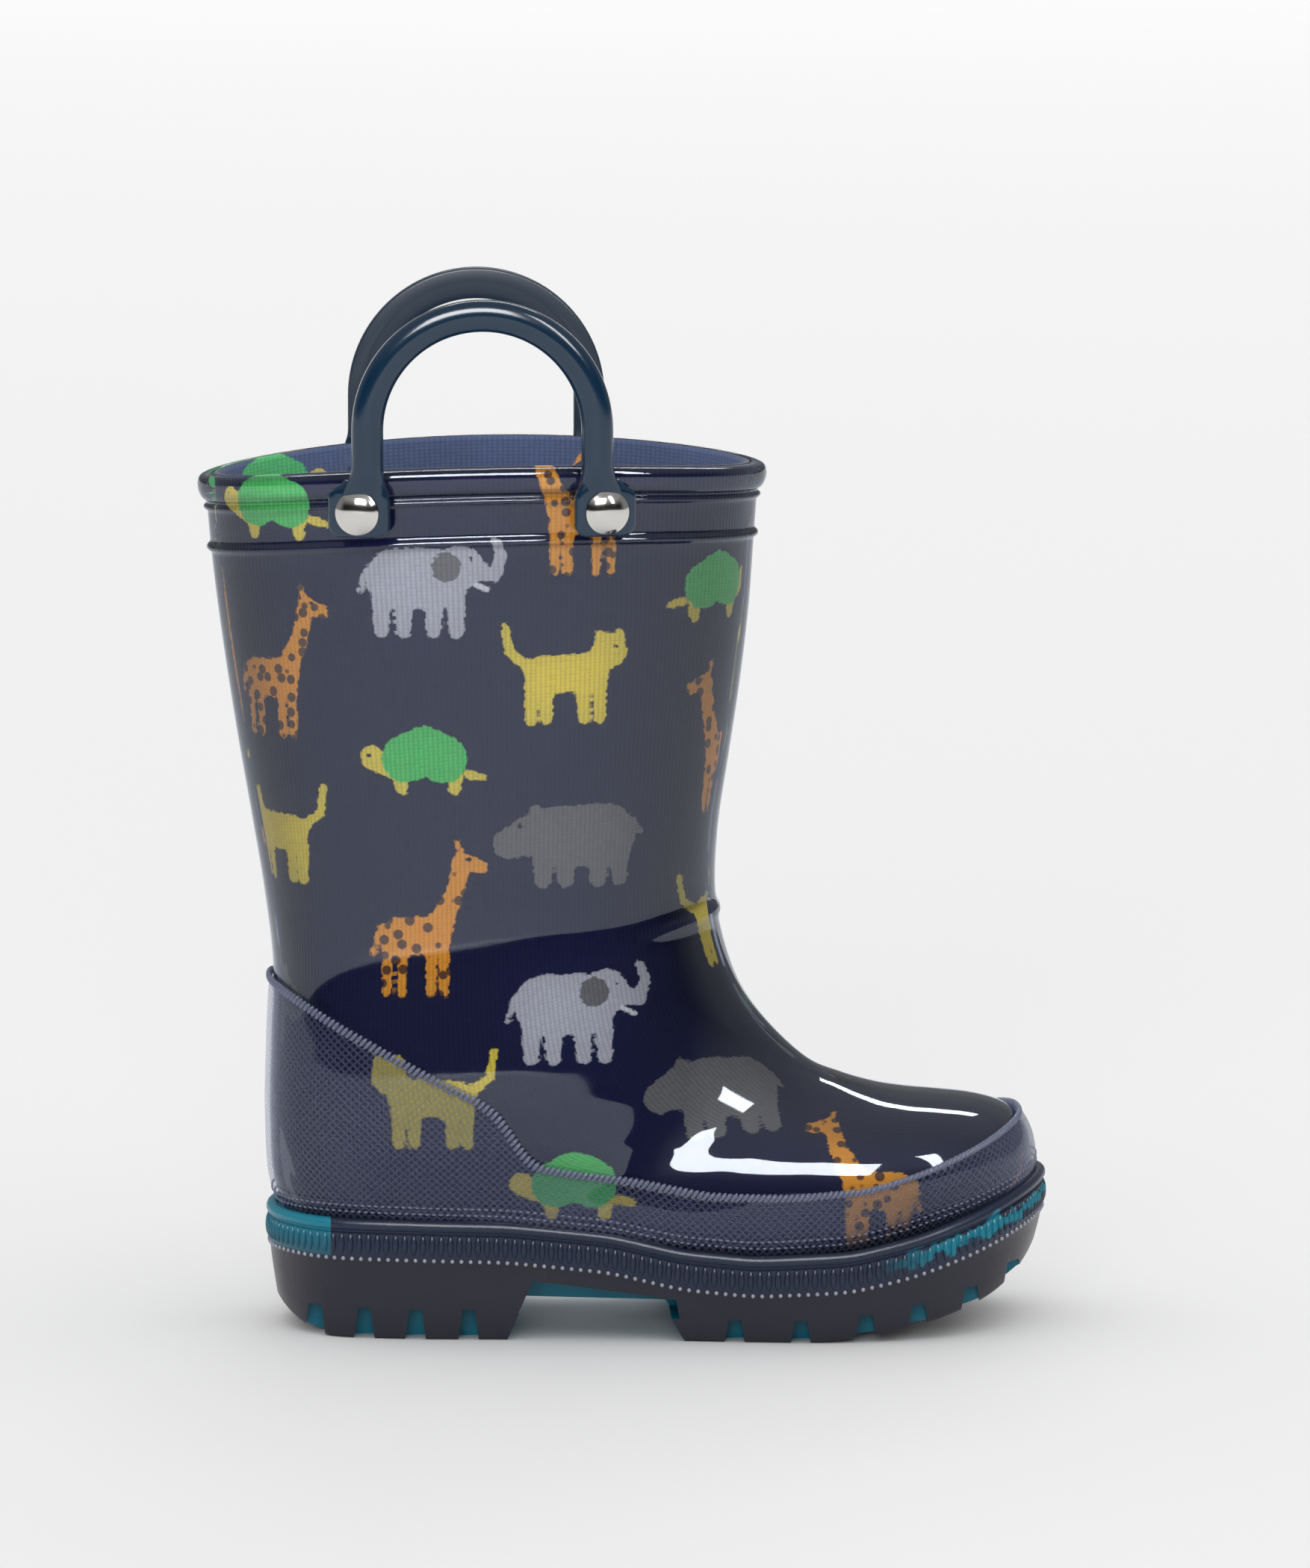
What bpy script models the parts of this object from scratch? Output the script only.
"""A child's pull-on rain boot for the right foot.

The toe points along +X, the outer side of the foot faces -Y and +Z is up. The origin is on the
ground, in the middle of the boot's length and width. All driving sizes are in metres. The outline
tables are drawn in millimetres on a size 24 last, and drawn() stretches them to the driving sizes.
"""
import math

import bmesh
import bpy
from mathutils import Matrix, Vector

# Overall sizes of the boot.
SOLE_LENGTH = 0.1750
FOOT_WIDTH = 0.0740
COLLAR_HEIGHT = 0.1925

# Walls and layers, from the outside in.
RAND_WALL = 0.0010
SHELL_WALL = 0.0018
LINER_WALL = 0.0012
FOAM_THICKNESS = 0.0030
COVER_THICKNESS = 0.0008
GAP = 0.0003

# Collar: a rounded roll at the rim, a thin ridge under it and a heavier ridge below the band.
ROLL_HEIGHT = 0.0068
ROLL_PROUD = 0.0018
THIN_RIDGE_DEPTH = 0.0080
THIN_RIDGE_PROUD = 0.0011
LOW_RIDGE_DEPTH = 0.0156
LOW_RIDGE_PROUD = 0.0010
RIDGE_HALF = 0.0008

# Rivets that hold the two carrying handles to the collar band.
RIVET_SPACING = 0.0525
RIVET_DROP = 0.0058
CAP_RADIUS = 0.0049
CAP_HEIGHT = 0.0022
CAP_EDGE = 0.0004
SHANK_RADIUS = 0.0015
POST_WALL = 0.0006
POST_HEAD_RADIUS = 0.0045
POST_HEAD_THICKNESS = 0.0009
POST_SEAT = 0.0008
HOLE_TOOL = 0.030

# Handles: an arched bar, and a flared tab at each of its two ends. Their middle is drawn on the last.
HANDLE_CENTRE = -32.1
BAR_WIDTH = 0.0070
BAR_DEPTH = 0.0052
LEG_INSET = 0.00085
ARCH_RADIUS = RIVET_SPACING / 2 - LEG_INSET
LEG_LENGTH = 0.0108
TAB_HALF_WIDTH = 0.0069
TAB_BELOW_RIVET = 0.0056
TAB_ABOVE_RIVET = 0.0070
SHOULDER_ABOVE_RIVET = 0.0032
TAB_THICKNESS = 0.0032
TAB_CORNER = 0.0026
TAB_ROUNDING = 0.0006
BAR_ROUNDING = 0.0016
ROLL_CLEARANCE = 0.0009
LEAN_IN = math.radians(12)
RELIEF_SPARE = 1.15

# Sole: a welt round the upper, a heel block and a forefoot with lugs along both edges.
WELT_TAPER = 0.0026
RECESS_DEPTH = 0.0030
NOTCH_DEPTH = 0.0090
HEEL_NOTCH_HEIGHT = 0.0064
TOE_NOTCH_HEIGHT = 0.0042
SHANK_RIB_HALF = 0.0140
TAPER_TOP = 0.018
BLOCK_TOP = 0.045

# Depth below the ground and height above the boot that cutting tools reach.
TOOL_DROP = 0.04
TOOL_RISE = 0.06

# The last that the outlines are drawn on, in millimetres.
LAST_LENGTH = 175.0
LAST_WIDTH = 74.0
LAST_ANKLE = 95.0
LAST_COLLAR = 192.5

# One row for each section, from the rim down the shaft and along the foot to the toe:
# front x and z, back x and z, half width, sideways shift, rise at the sides, front and back
# squareness (2 is an ellipse, 4 is nearly a box).
SECTIONS = (
    (30.4, 193.6, -93.4, 191.4, 32.3, 0.0, 3.6, 2.0, 2.0),
    (29.2, 177.6, -92.0, 174.7, 31.7, 0.0, 3.0, 2.0, 2.0),
    (28.0, 161.0, -89.8, 156.5, 31.1, 0.0, 2.0, 2.0, 2.0),
    (26.0, 144.0, -86.6, 135.0, 30.6, 0.0, 1.0, 2.0, 2.1),
    (23.6, 128.0, -83.2, 115.0, 30.2, 0.0, 0.0, 2.0, 2.2),
    (21.2, 112.0, -80.4, 98.0, 30.0, 0.0, 0.0, 2.1, 2.4),
    (20.6, 97.5, -78.5, 81.0, 29.5, 0.0, 0.0, 2.1, 2.6),
    (22.4, 86.4, -79.0, 64.0, 30.2, 0.0, 0.0, 2.2, 2.7),
    (26.4, 75.5, -79.3, 46.5, 30.9, 0.0, 0.0, 2.2, 2.8),
    (33.0, 66.5, -77.8, 30.5, 31.0, 0.0, 0.0, 2.2, 2.8),
    (41.6, 58.6, -70.0, 21.6, 30.4, -0.3, 0.0, 2.2, 3.0),
    (49.2, 55.3, -52.0, 19.9, 30.3, -0.6, 0.0, 2.2, 3.6),
    (57.0, 53.0, -26.0, 19.4, 31.8, -0.9, 0.0, 2.2, 4.0),
    (64.0, 51.8, 2.0, 16.3, 33.4, -1.0, 0.0, 2.2, 4.0),
    (71.0, 51.1, 28.0, 12.6, 34.0, -0.8, 0.0, 2.2, 4.0),
    (78.0, 50.2, 50.0, 13.6, 32.6, 0.0, 0.0, 2.2, 3.6),
    (83.4, 48.8, 66.0, 16.6, 29.2, 1.2, 0.0, 2.2, 3.2),
    (87.0, 47.0, 77.5, 20.4, 24.4, 2.6, 0.0, 2.2, 2.8),
    (89.6, 44.2, 85.4, 24.6, 18.2, 3.8, 0.0, 2.2, 2.4),
    (91.3, 40.2, 89.8, 29.2, 10.8, 4.8, 0.0, 2.0, 2.0),
)
TOE_TIP = (92.0, 5.2, 34.7)
SIDES = 24

# Sole outline seen from above, outer side first: x and y.
SOLE_OUTLINE = (
    (-80.2, 0.0), (-77.4, -13.5), (-67.5, -25.2), (-50.0, -30.0), (-28.0, -31.6), (-10.0, -32.4),
    (12.0, -34.8), (34.0, -37.6), (50.0, -38.0), (65.0, -35.4), (76.0, -30.0), (85.0, -22.0),
    (91.5, -11.0), (94.9, 2.0), (94.4, 12.0), (90.6, 22.0), (83.0, 29.6), (72.0, 34.0),
    (56.0, 36.2), (36.0, 35.8), (14.0, 33.6), (-8.0, 31.6), (-28.0, 31.0), (-50.0, 29.8),
    (-67.5, 25.2), (-77.4, 13.5),
)
# Heights along x: the top lip of the welt, and the ground contour of heel and forefoot.
LIP_LINE = (
    (-84.0, 27.4), (-50.0, 27.2), (-27.0, 26.8), (-4.0, 24.6), (12.0, 21.0), (28.0, 19.7),
    (50.0, 20.8), (64.0, 23.8), (78.0, 27.9), (90.0, 32.2), (98.0, 34.4),
)
TOE_SPRING = (
    (45.0, 0.0), (60.0, 2.2), (71.0, 4.3), (79.0, 6.6), (85.0, 8.8), (91.0, 12.6), (98.0, 20.0),
)
HEEL_CURL = ((-84.0, 9.0), (-77.0, 3.0), (-70.0, 0.0))
ARCH_GAP = ((-26.8, 0.0), (-23.6, 7.4), (9.0, 6.4), (12.8, 0.0))
ARCH_EDGE = ((-24.4, 6.0), (-21.1, 13.6), (10.8, 9.7), (11.6, 5.0))
HEEL_NOTCHES = (-69.5, -58.6, -47.2, -35.4)
TOE_NOTCHES = (23.8, 38.5, 53.0, 64.8, 76.8, 86.8)
NOTCH_TOP_WIDTH = 2.4
NOTCH_BOTTOM_WIDTH = 4.2

# Upper border of the rand: heel counter, then a low guard along the foot to the toe.
RAND_LINE = (
    (-90.0, 81.0), (-78.0, 78.4), (-64.3, 70.5), (-44.4, 59.9), (-31.0, 53.4), (-26.6, 48.6),
    (-22.8, 40.0), (-14.0, 38.3), (2.8, 35.7), (18.0, 32.8), (36.0, 32.6), (53.4, 34.1),
    (66.0, 37.6), (78.0, 41.9), (88.0, 46.0), (104.0, 48.0),
)


def drawn(x, z):
    """A point of a side-view outline, stretched from the last to the boot's own sizes."""
    if z > LAST_ANKLE:
        shaft = (COLLAR_HEIGHT - LAST_ANKLE * 0.001) / (LAST_COLLAR - LAST_ANKLE)
        height = LAST_ANKLE * 0.001 + (z - LAST_ANKLE) * shaft
    else:
        height = z * 0.001
    return x * SOLE_LENGTH / LAST_LENGTH, height


def drawn_width(y):
    """A width or sideways place, stretched from the last to the boot's own width."""
    return y * FOOT_WIDTH / LAST_WIDTH


def between(rows, place):
    """The row at a fractional place in a table, on a smooth curve through its rows."""
    last = len(rows) - 1
    start = min(int(place), last - 1)
    u = place - start
    r0, r1 = rows[max(start - 1, 0)], rows[start]
    r2, r3 = rows[start + 1], rows[min(start + 2, last)]
    return [
        b + 0.5 * u * (c - a + u * (2 * a - 5 * b + 4 * c - d + u * (3 * (b - c) + d - a)))
        for a, b, c, d in zip(r0, r1, r2, r3)
    ]


def height_at(line, x):
    """Height of a drawn line at x, straight between its points, in millimetres."""
    for (x0, z0), (x1, z1) in zip(line, line[1:]):
        if x <= x1:
            return z0 + (z1 - z0) * (x - x0) / (x1 - x0)
    return line[-1][1]


# The form: every layer of the upper is this surface, moved in or out along its normal.

def form_point(place, angle):
    """Point on the outside of the upper. Angle 0 is the front or top, pi the back or bottom."""
    row = between(SECTIONS, place)
    fx, fz = drawn(row[0], row[1])
    bx, bz = drawn(row[2], row[3])
    c, s = math.cos(angle), math.sin(angle)
    power = 2 / (row[7] if c > 0 else row[8])
    along = math.copysign(abs(c) ** power, c)
    across = math.copysign(abs(s) ** power, s)
    x = (fx + bx) / 2 + along * (fx - bx) / 2
    z = (fz + bz) / 2 + along * (fz - bz) / 2 + row[6] * 0.001 * s * s
    return Vector((x, drawn_width(row[5] + row[4] * across), z))


def form_normal(place, angle):
    """Unit normal of the form, pointing out of the boot."""
    step = 0.02
    low, high = max(place - step, 0), min(place + step, len(SECTIONS) - 1)
    down = form_point(high, angle) - form_point(low, angle)
    around = form_point(place, angle + step) - form_point(place, angle - step)
    return down.cross(around).normalized()


def collar_place(depth):
    """Place in the section table at a depth below the rim."""
    top = drawn(0, SECTIONS[0][1])[1]
    below = drawn(0, SECTIONS[1][1])[1]
    return depth / (top - below)


def collar_beads():
    """Pairs of depth and how far the collar stands proud there, down to below the low ridge."""
    pairs = [(ROLL_HEIGHT * (1 - math.cos(k * math.pi / 4)) / 2, ROLL_PROUD * math.sin(k * math.pi / 4))
             for k in range(5)]
    for depth, proud in ((THIN_RIDGE_DEPTH, THIN_RIDGE_PROUD), (LOW_RIDGE_DEPTH, LOW_RIDGE_PROUD)):
        pairs += [(depth - RIDGE_HALF, 0.0), (depth, proud), (depth + RIDGE_HALF, 0.0)]
    return pairs


def form_rows(beaded):
    """Place and bead of each ring of the loft, from the rim to the toe."""
    collar = [(collar_place(depth), proud) for depth, proud in collar_beads()]
    rows = collar if beaded else [(0, 0.0), (1, 0.0)]
    rows += [(place, 0.0) for place in range(2, 15)]
    rows += [(place / 2, 0.0) for place in range(30, 2 * len(SECTIONS) - 1)]
    return rows


def layer_rings(outset, beaded=False):
    """Rings of points at a distance outside the form, and the point that closes the toe."""
    result = []
    angles = [2 * math.pi * k / SIDES for k in range(SIDES)]
    for place, proud in form_rows(beaded):
        reach = outset + proud
        result.append([form_point(place, a) + form_normal(place, a) * reach for a in angles])
    x, z = drawn(TOE_TIP[0], TOE_TIP[2])
    return result, Vector((x + outset, drawn_width(TOE_TIP[1]), z))


# Building blocks.

def material(name, colour, roughness, metallic=0.0, clear=0.0):
    """A plain material with the sub-part's colour and gloss."""
    made = bpy.data.materials.new(name)
    made.use_nodes = True
    shader = made.node_tree.nodes["Principled BSDF"]
    shader.inputs["Base Color"].default_value = (*colour, 1.0)
    shader.inputs["Roughness"].default_value = roughness
    shader.inputs["Metallic"].default_value = metallic
    shader.inputs["Transmission Weight"].default_value = clear
    return made


def add_object(name, data, collection, finish=None):
    """A named object in a collection, with its material."""
    made = bpy.data.objects.new(name, data)
    collection.objects.link(made)
    if finish:
        data.materials.append(finish)
    return made


def mesh_from(bm, name):
    """A mesh with all its faces pointing out, from a bmesh that is then freed."""
    bmesh.ops.recalc_face_normals(bm, faces=bm.faces)
    mesh = bpy.data.meshes.new(name)
    bm.to_mesh(mesh)
    bm.free()
    return mesh


def skin(bm, ring_list, tip):
    """Triangles between neighbouring rings, closed at the toe by a fan."""
    verts = [[bm.verts.new(p) for p in ring] for ring in ring_list]
    for upper, lower in zip(verts, verts[1:]):
        for k in range(SIDES):
            j = (k + 1) % SIDES
            bm.faces.new((upper[k], upper[j], lower[j]))
            bm.faces.new((upper[k], lower[j], lower[k]))
    point = bm.verts.new(tip)
    for k in range(SIDES):
        bm.faces.new((verts[-1][k], verts[-1][(k + 1) % SIDES], point))
    return verts[0]


def layer_mesh(name, outer, inner, beaded=False):
    """A closed cup between two distances from the form, open at the collar."""
    bm = bmesh.new()
    rim_out = skin(bm, *layer_rings(outer, beaded))
    rim_in = skin(bm, *layer_rings(inner))
    for k in range(SIDES):
        j = (k + 1) % SIDES
        bm.faces.new((rim_out[k], rim_out[j], rim_in[j], rim_in[k]))
    return mesh_from(bm, name)


def filled_mesh(name, outset):
    """The form as one filled solid at a distance from its surface."""
    bm = bmesh.new()
    rim = skin(bm, *layer_rings(outset))
    bmesh.ops.contextual_create(bm, geom=rim)
    return mesh_from(bm, name)


def side_prism(name, outline, half_width, centre=0.0):
    """A side-view outline pushed out to both sides of a plane across the boot."""
    bm = bmesh.new()
    near = [bm.verts.new((x, centre - half_width, z)) for x, z in outline]
    far = [bm.verts.new((x, centre + half_width, z)) for x, z in outline]
    bm.faces.new(near)
    bm.faces.new(far[::-1])
    for k in range(len(outline)):
        j = (k + 1) % len(outline)
        bm.faces.new((near[k], far[k], far[j], near[j]))
    return mesh_from(bm, name)


def cutter(name, data, cutters):
    """A tool body that is never part of the boot."""
    tool = add_object(name, data, cutters)
    tool.hide_render = True
    tool.display_type = "WIRE"
    return tool


def combine(target, tool, operation="DIFFERENCE"):
    """An exact Boolean of a sub-part with a tool body."""
    step = target.modifiers.new(tool.name, "BOOLEAN")
    step.operation = operation
    step.solver = "EXACT"
    step.object = tool


def turned(name, profile, frame, collection, finish):
    """A turned piece: a profile of radius and height, spun about its frame's Z axis."""
    bm = bmesh.new()
    verts = [bm.verts.new((radius, 0.0, height)) for radius, height in profile]
    for first, second in zip(verts, verts[1:]):
        bm.edges.new((first, second))
    mesh = bpy.data.meshes.new(name)
    bm.to_mesh(mesh)
    bm.free()
    made = add_object(name, mesh, collection, finish)
    made.matrix_world = frame
    spin = made.modifiers.new("spin", "SCREW")
    spin.steps = spin.render_steps = 16
    spin.use_merge_vertices = True
    spin.merge_threshold = 0.00005
    return made


def below_line(line, lift):
    """Outline of everything under a drawn and lifted line, down to below the ground."""
    top = [drawn(x, z) for x, z in line]
    top = [(x, z + lift) for x, z in top]
    return [(top[0][0], -TOOL_DROP)] + top + [(top[-1][0], -TOOL_DROP)]


# Upper: clear moulded shell, knitted liner, rand and insole.

def make_upper(boot, cutters, rivet_frames):
    """Shell and liner, each one closed cup with holes for the rivets."""
    clear = material("clear_upper", (0.10, 0.12, 0.25), 0.08, clear=0.6)
    knit = material("knit_liner", (0.02, 0.03, 0.09), 0.85)
    shell = add_object("upper_shell", layer_mesh("upper_shell", 0.0, -SHELL_WALL, True), boot, clear)
    liner_out = SHELL_WALL + GAP
    liner_mesh = layer_mesh("knit_liner", -liner_out, -liner_out - LINER_WALL)
    liner = add_object("knit_liner", liner_mesh, boot, knit)
    for key, frame in rivet_frames.items():
        hole = rivet_hole(key, frame, cutters)
        combine(shell, hole)
        combine(liner, hole)


def rand_zone(name, cutters, outset, depth):
    """The band of a layer that the rand fills: under its border and down into the welt."""
    border = below_line(RAND_LINE, outset - RAND_WALL)
    lip = below_line(LIP_LINE, -depth)
    band = cutter(name + "_border", side_prism(name + "_border", border, FOOT_WIDTH), cutters)
    foot = cutter(name + "_foot", side_prism(name + "_foot", lip, FOOT_WIDTH * 2), cutters)
    return band, foot


def make_rand(boot, cutters):
    """Raised textured guard round the heel, the sides and the toe."""
    frosted = material("frosted_rand", (0.06, 0.07, 0.15), 0.35)
    rand = add_object("rand_guard", layer_mesh("rand_guard", GAP + RAND_WALL, GAP), boot, frosted)
    band, foot = rand_zone("rand", cutters, RAND_WALL, RECESS_DEPTH - GAP)
    combine(rand, band, "INTERSECT")
    combine(rand, foot)


def floor_line(lift):
    """Line along the bottom of the foot inside the liner, raised by a thickness."""
    inset = SHELL_WALL + GAP + LINER_WALL + GAP
    places = [10.5 + k * 0.5 for k in range(17)]
    points = []
    for place in places:
        row = between(SECTIONS, place)
        x, z = drawn(row[2], row[3])
        points.append((x, z + inset + lift))
    first = (drawn(-100, 0)[0], points[0][1])
    last = (drawn(110, 0)[0], points[-1][1] + 0.012)
    return [(first[0], -TOOL_DROP), first] + points + [last, (last[0], -TOOL_DROP)]


def make_insole(boot, cutters):
    """Foam insole on the liner, and its fabric cover on the foam."""
    foam_finish = material("insole_foam", (0.75, 0.75, 0.72), 0.9)
    cover_finish = material("insole_cover", (0.10, 0.11, 0.16), 0.9)
    inset = SHELL_WALL + GAP + LINER_WALL + GAP
    foam = add_object("insole_foam", filled_mesh("insole_foam", -inset), boot, foam_finish)
    cover = add_object("insole_cover", filled_mesh("insole_cover", -inset), boot, cover_finish)
    heights = (FOAM_THICKNESS, FOAM_THICKNESS + GAP, FOAM_THICKNESS + GAP + COVER_THICKNESS)
    names = ("foam_top", "cover_bottom", "cover_top")
    slabs = [cutter(n, side_prism(n, floor_line(h), FOOT_WIDTH), cutters) for n, h in zip(names, heights)]
    combine(foam, slabs[0], "INTERSECT")
    combine(cover, slabs[2], "INTERSECT")
    combine(cover, slabs[1])


# Outsole.

def outline_ring(inset, height):
    """The sole outline, moved in by a distance, as a ring of points at a height."""
    count = len(SOLE_OUTLINE)
    closed = SOLE_OUTLINE[-2:] + SOLE_OUTLINE + SOLE_OUTLINE[:3]
    points = []
    for k in range(count * 2):
        x, y = between(closed, 2 + k / 2)
        points.append(Vector((drawn(x, 0)[0], drawn_width(y), height)))
    moved = []
    for k, point in enumerate(points):
        along = (points[(k + 1) % len(points)] - points[k - 1]).normalized()
        moved.append(point + Vector((-along.y, along.x, 0)) * inset)
    return moved


def half_width(x, side):
    """Distance from the middle plane to the sole's edge at a drawn x, on one side."""
    toe = SOLE_OUTLINE.index(max(SOLE_OUTLINE))
    edge = SOLE_OUTLINE[:toe + 1] if side < 0 else (SOLE_OUTLINE[toe:] + SOLE_OUTLINE[:1])[::-1]
    return drawn_width(abs(height_at(edge, x)))


def sole_block():
    """The whole sole before it is cut: its outline, drawn in a little towards the ground."""
    levels = ((WELT_TAPER, 0.0), (0.0, TAPER_TOP), (0.0, BLOCK_TOP))
    bm = bmesh.new()
    loops = [[bm.verts.new(p) for p in outline_ring(inset, z)] for inset, z in levels]
    for lower, upper in zip(loops, loops[1:]):
        for k in range(len(lower)):
            j = (k + 1) % len(lower)
            bm.faces.new((lower[k], lower[j], upper[j], upper[k]))
    bm.faces.new(loops[0][::-1])
    bm.faces.new(loops[-1])
    return mesh_from(bm, "outsole")


def notch_outline(x, base, height):
    """Side view of one gap between lugs, wider at the ground."""
    reach = 0.002
    top, bottom = NOTCH_TOP_WIDTH / 2, NOTCH_BOTTOM_WIDTH / 2
    left, right = drawn(x - bottom, 0)[0], drawn(x + bottom, 0)[0]
    return (
        (left, base - reach), (right, base - reach),
        (drawn(x + top, 0)[0], base + height), (drawn(x - top, 0)[0], base + height),
    )


def cut_notches(sole, cutters):
    """Gaps between the lugs, along both edges of heel and forefoot."""
    notches = [(x, HEEL_NOTCH_HEIGHT) for x in HEEL_NOTCHES]
    notches += [(x, TOE_NOTCH_HEIGHT) for x in TOE_NOTCHES]
    for x, height in notches:
        base = height_at(HEEL_CURL + TOE_SPRING, x) * 0.001
        outline = notch_outline(x, base, height)
        for side in (-1, 1):
            centre = side * half_width(x, side)
            name = "notch_%s_%d" % ("outer" if side < 0 else "inner", round(x + LAST_LENGTH))
            combine(sole, cutter(name, side_prism(name, outline, NOTCH_DEPTH, centre), cutters))


def make_outsole(boot, cutters):
    """Sole moulding: welt, recess for the foot, arch, toe spring and lugs."""
    pvc = material("sole_pvc", (0.03, 0.03, 0.05), 0.45)
    sole = add_object("outsole", sole_block(), boot, pvc)
    lip = [drawn(x, z) for x, z in LIP_LINE]
    above = lip + [(lip[-1][0], TOOL_RISE), (lip[0][0], TOOL_RISE)]
    ground = [drawn(x, z) for x, z in HEEL_CURL + TOE_SPRING]
    under = ground + [(ground[-1][0], -TOOL_DROP), (ground[0][0], -TOOL_DROP)]
    wide = FOOT_WIDTH
    tools = [
        ("above_lip", side_prism("above_lip", above, wide)),
        ("under_ground", side_prism("under_ground", under, wide)),
        ("foot_room", filled_mesh("foot_room", GAP)),
    ]
    arch = [drawn(x, z) for x, z in ARCH_GAP]
    arch = [(arch[0][0], -TOOL_DROP)] + arch + [(arch[-1][0], -TOOL_DROP)]
    tools.append(("arch_gap", side_prism("arch_gap", arch, wide)))
    edge = [drawn(x, z) for x, z in ARCH_EDGE]
    for name, side in (("outer", -1), ("inner", 1)):
        centre = side * (SHANK_RIB_HALF + wide / 2)
        tools.append(("arch_" + name, side_prism("arch_" + name, edge, wide / 2, centre)))
    for name, data in tools:
        combine(sole, cutter(name, data, cutters))
    room = cutter("rand_room", filled_mesh("rand_room", GAP * 2 + RAND_WALL), cutters)
    floor = side_prism("recess_floor", below_line(LIP_LINE, -RECESS_DEPTH), FOOT_WIDTH * 2)
    combine(room, cutter("recess_floor", floor, cutters))
    combine(sole, room)
    cut_notches(sole, cutters)


# Handles and rivets.

def handle_middle():
    """X of the middle of both handles, over the middle of the collar."""
    return drawn(HANDLE_CENTRE, LAST_COLLAR)[0]


def band_spot(x, side):
    """Place and angle of the form's point at an x on one side, at the height of the rivets."""
    depth = RIVET_DROP
    for _ in range(8):
        low, high = 0.0, math.pi
        for _ in range(30):
            middle = (low + high) / 2
            if form_point(collar_place(depth), middle).x > x:
                low = middle
            else:
                high = middle
        depth += form_point(collar_place(depth), low).z - (COLLAR_HEIGHT - RIVET_DROP)
    return collar_place(depth), side * low


def rivet_frames():
    """Frame of each rivet: origin on the form, Z out along the normal, X along the band."""
    frames = {}
    for side_name, side in (("outer", -1), ("inner", 1)):
        for end_name, end in (("back", -1), ("front", 1)):
            spot = band_spot(handle_middle() + end * RIVET_SPACING / 2, side)
            normal = form_normal(*spot)
            across = Vector((0, 0, 1)).cross(normal).normalized()
            turn = Matrix((across, normal.cross(across), normal)).transposed().to_4x4()
            frames[side_name + "_" + end_name] = Matrix.Translation(form_point(*spot)) @ turn
    return frames


def tab_levels():
    """Heights of a tab's back and front face above the form."""
    back = ROLL_PROUD + GAP * 2
    return back, back + TAB_THICKNESS


def rivet_hole(key, frame, cutters):
    """A round tool through the wall, with clearance round the rivet post."""
    radius = SHANK_RADIUS + GAP + POST_WALL + GAP
    bm = bmesh.new()
    bmesh.ops.create_cone(bm, cap_ends=True, segments=16, radius1=radius, radius2=radius, depth=HOLE_TOOL)
    tool = cutter("hole_" + key, mesh_from(bm, "hole_" + key), cutters)
    tool.matrix_world = frame
    return tool


def arc(centre, radius, start, end, steps):
    """Points on an arc, angles in degrees."""
    angles = [math.radians(start + (end - start) * k / steps) for k in range(steps + 1)]
    return [(centre[0] + radius * math.cos(a), centre[1] + radius * math.sin(a)) for a in angles]


def flat_outline(name, points, half, rounding):
    """A flat outline with thickness and rounded edges, as a closed mesh lying in XY."""
    curve = bpy.data.curves.new(name, "CURVE")
    curve.dimensions = "2D"
    curve.fill_mode = "BOTH"
    curve.extrude = half - rounding
    curve.bevel_depth = rounding
    curve.bevel_resolution = 1
    curve.offset = -rounding
    spline = curve.splines.new("POLY")
    spline.points.add(len(points) - 1)
    for point, (x, y) in zip(spline.points, points):
        point.co = (x, y, 0, 1)
    spline.use_cyclic_u = True
    source = bpy.data.objects.new(name + "_curve", curve)
    bpy.context.scene.collection.objects.link(source)
    graph = bpy.context.evaluated_depsgraph_get()
    mesh = bpy.data.meshes.new_from_object(source.evaluated_get(graph))
    bpy.data.objects.remove(source)
    bm = bmesh.new()
    bm.from_mesh(mesh)
    bmesh.ops.remove_doubles(bm, verts=bm.verts, dist=0.00005)
    bmesh.ops.dissolve_degenerate(bm, edges=bm.edges, dist=0.00005)
    bmesh.ops.recalc_face_normals(bm, faces=bm.faces)
    bm.to_mesh(mesh)
    bm.free()
    return mesh


def tab_outline(frame, end):
    """A tab from the front: a rounded foot, and shoulders that draw in to the bar."""
    leg_x = handle_middle() + end * ARCH_RADIUS
    neck = abs(frame.col[0].x) * (leg_x - frame.translation.x)
    neck = math.copysign(neck, frame.col[0].x * (leg_x - frame.translation.x))
    corner = TAB_CORNER
    wide, low, half = TAB_HALF_WIDTH, -TAB_BELOW_RIVET, BAR_WIDTH / 2
    points = arc((corner - wide, low + corner), corner, 180, 270, 4)
    points += arc((wide - corner, low + corner), corner, 270, 360, 4)
    points += [(wide, SHOULDER_ABOVE_RIVET), (neck + half, TAB_ABOVE_RIVET)]
    points += [(neck - half, TAB_ABOVE_RIVET), (-wide, SHOULDER_ABOVE_RIVET)]
    return points


def make_tab(key, frame, boot, cutters, finish):
    """The flared end of a handle, lying on the collar roll, with its rivet hole."""
    back, front = tab_levels()
    name = "handle_tab_" + key
    end = 1 if key.endswith("front") else -1
    mesh = flat_outline(name, tab_outline(frame, end), TAB_THICKNESS / 2, TAB_ROUNDING)
    tab = add_object(name, mesh, boot, finish)
    tab.matrix_world = frame @ Matrix.Translation((0, 0, (back + front) / 2))
    return tab


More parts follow.
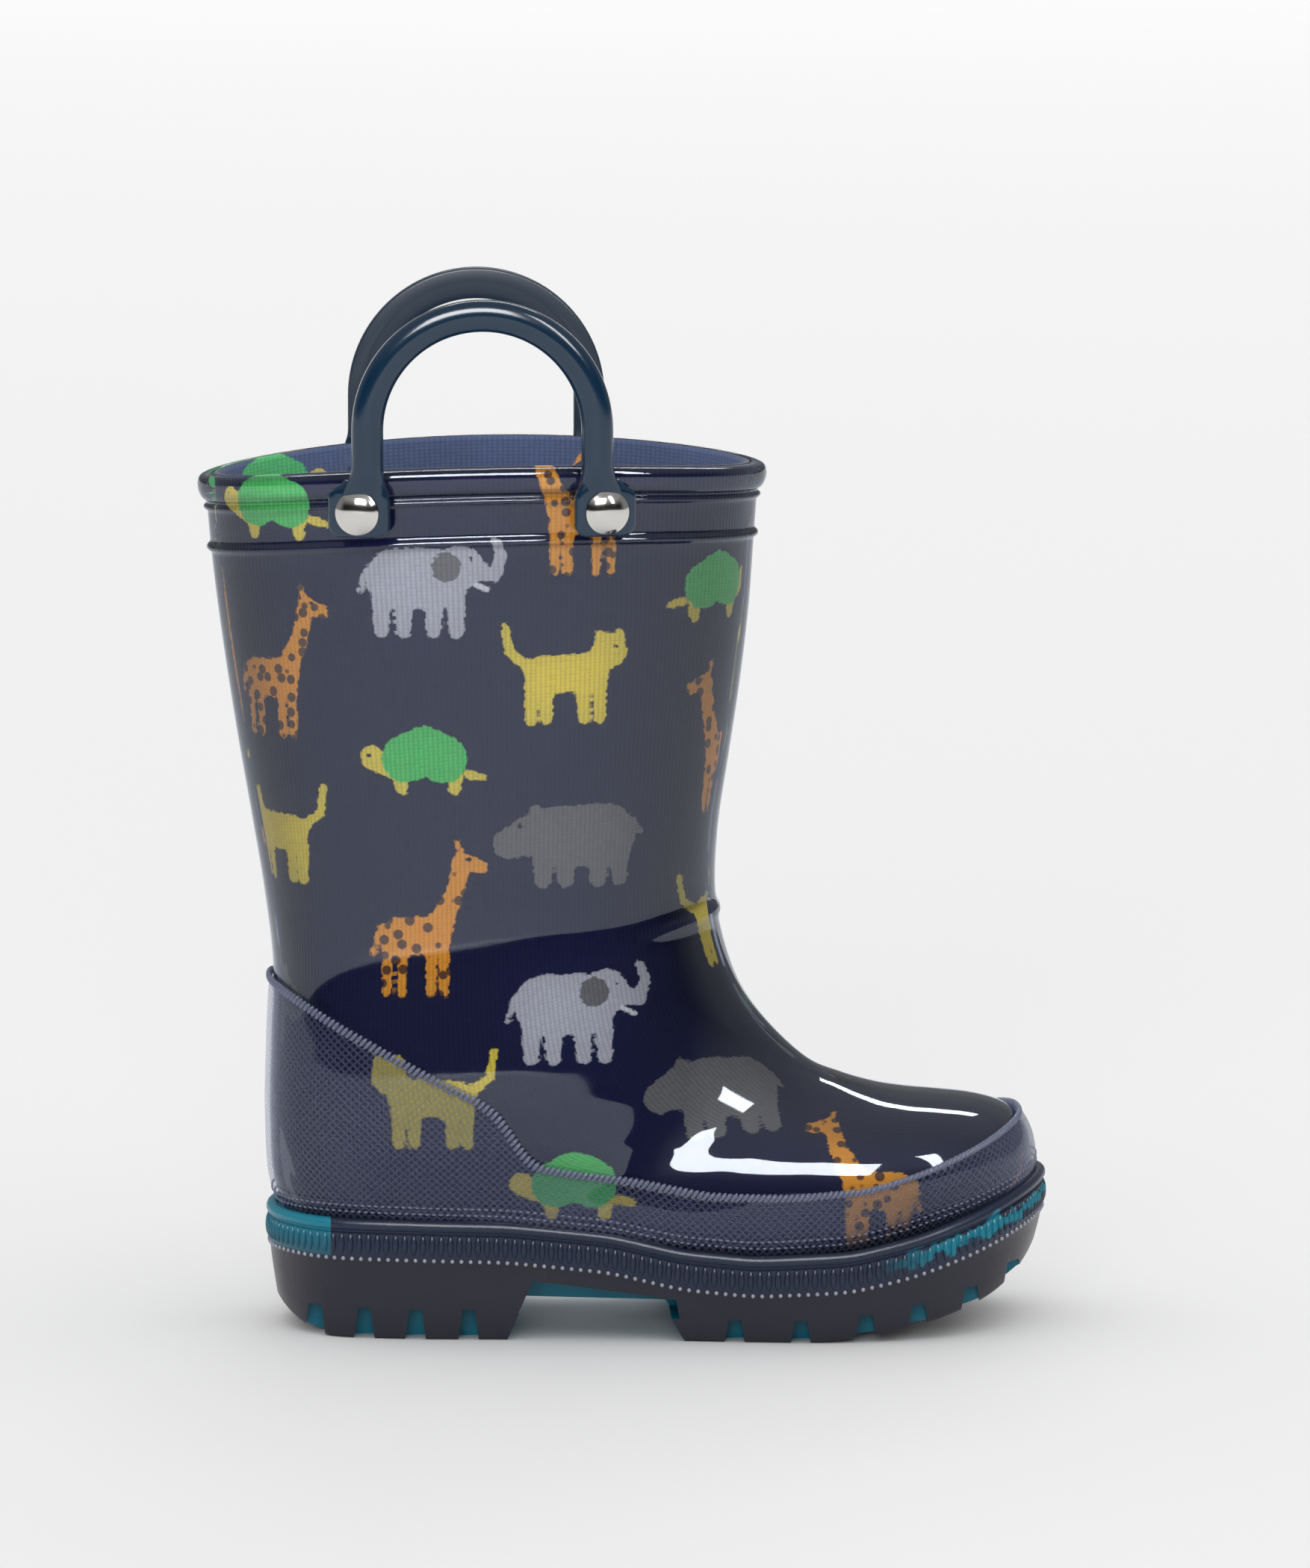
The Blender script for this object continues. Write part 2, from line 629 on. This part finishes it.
def hinge_axis(side):
    """Point on the fold line of one handle: the lower outer edge of its bar."""
    band = form_point(*band_spot(handle_middle() - ARCH_RADIUS + BAR_WIDTH / 2, side))
    reach = abs(band.y) + ROLL_PROUD + ROLL_CLEARANCE + BAR_DEPTH
    return Vector((handle_middle(), side * reach, band.z + TAB_ABOVE_RIVET + GAP))


def make_loop(name, side, boot, cutters, finish):
    """The arched bar of one handle, with its ends relieved so that it can lean inwards."""
    half = BAR_WIDTH / 2
    outline = arc((0, LEG_LENGTH), ARCH_RADIUS + half, 0, 180, 20)
    outline += [(-ARCH_RADIUS - half, 0), (-ARCH_RADIUS + half, 0)]
    outline += arc((0, LEG_LENGTH), ARCH_RADIUS - half, 180, 0, 16)
    outline += [(ARCH_RADIUS - half, 0), (ARCH_RADIUS + half, 0)]
    mesh = flat_outline(name, outline, BAR_DEPTH / 2, BAR_ROUNDING)
    upright = Matrix.Rotation(math.pi / 2, 4, "X")
    mesh.transform(Matrix.Translation((0, -side * BAR_DEPTH / 2, 0)) @ upright)
    loop = add_object(name, mesh, boot, finish)
    loop.location = hinge_axis(side)
    bm = bmesh.new()
    bmesh.ops.create_cube(bm, size=1.0)
    bmesh.ops.scale(bm, verts=bm.verts, vec=(0.08, 0.02, 0.01))
    bmesh.ops.translate(bm, verts=bm.verts, vec=(0, -side * 0.01, -0.005))
    lean = LEAN_IN * RELIEF_SPARE
    bmesh.ops.rotate(bm, verts=bm.verts, cent=(0, 0, 0), matrix=Matrix.Rotation(-side * lean, 3, "X"))
    relief = cutter(name + "_relief", mesh_from(bm, name + "_relief"), cutters)
    relief.location = loop.location
    combine(loop, relief)


def make_rivet(key, frame, boot, finish):
    """Domed cap with its shank outside the tab, and a hollow post with a flat head inside."""
    face = tab_levels()[1] + GAP
    inside = -(SHELL_WALL + GAP + LINER_WALL + POST_SEAT)
    bore = SHANK_RADIUS + GAP
    post_out = bore + POST_WALL
    edge = face + CAP_EDGE
    angles = [math.pi / 2 * k / 5 for k in range(5, -1, -1)]
    cap = [(0.0, face + CAP_HEIGHT)]
    cap += [(CAP_RADIUS * math.cos(a), edge + (CAP_HEIGHT - CAP_EDGE) * math.sin(a)) for a in angles[1:]]
    cap += [(CAP_RADIUS, face), (SHANK_RADIUS, face)]
    cap += [(SHANK_RADIUS, inside + GAP), (0.0, inside + GAP)]
    turned("rivet_cap_" + key, cap, frame, boot, finish)
    head = inside - POST_HEAD_THICKNESS
    post = [(0.0, inside), (bore, inside), (bore, face - GAP), (post_out, face - GAP)]
    post += [(post_out, inside), (POST_HEAD_RADIUS, inside), (POST_HEAD_RADIUS, head), (0.0, head)]
    turned("rivet_post_" + key, post, frame, boot, finish)


def make_handles(boot, cutters, frames):
    """Two carrying handles, each an arched bar and two tabs, and their eight rivet halves."""
    pvc = material("handle_pvc", (0.006, 0.030, 0.070), 0.35)
    nickel = material("rivet_metal", (0.80, 0.79, 0.76), 0.15, metallic=1.0)
    for name, side in (("handle_loop_outer", -1), ("handle_loop_inner", 1)):
        make_loop(name, side, boot, cutters, pvc)
    for key, frame in frames.items():
        tab = make_tab(key, frame, boot, cutters, pvc)
        combine(tab, bpy.data.objects["hole_" + key])
        make_rivet(key, frame, boot, nickel)


def main():
    """Empty the scene and build the boot."""
    for old in list(bpy.data.objects):
        bpy.data.objects.remove(old)
    boot = bpy.data.collections.new("rain_boot")
    cutters = bpy.data.collections.new("cutters")
    for collection in (boot, cutters):
        bpy.context.scene.collection.children.link(collection)
    frames = rivet_frames()
    make_upper(boot, cutters, frames)
    make_rand(boot, cutters)
    make_insole(boot, cutters)
    make_outsole(boot, cutters)
    make_handles(boot, cutters, frames)


main()
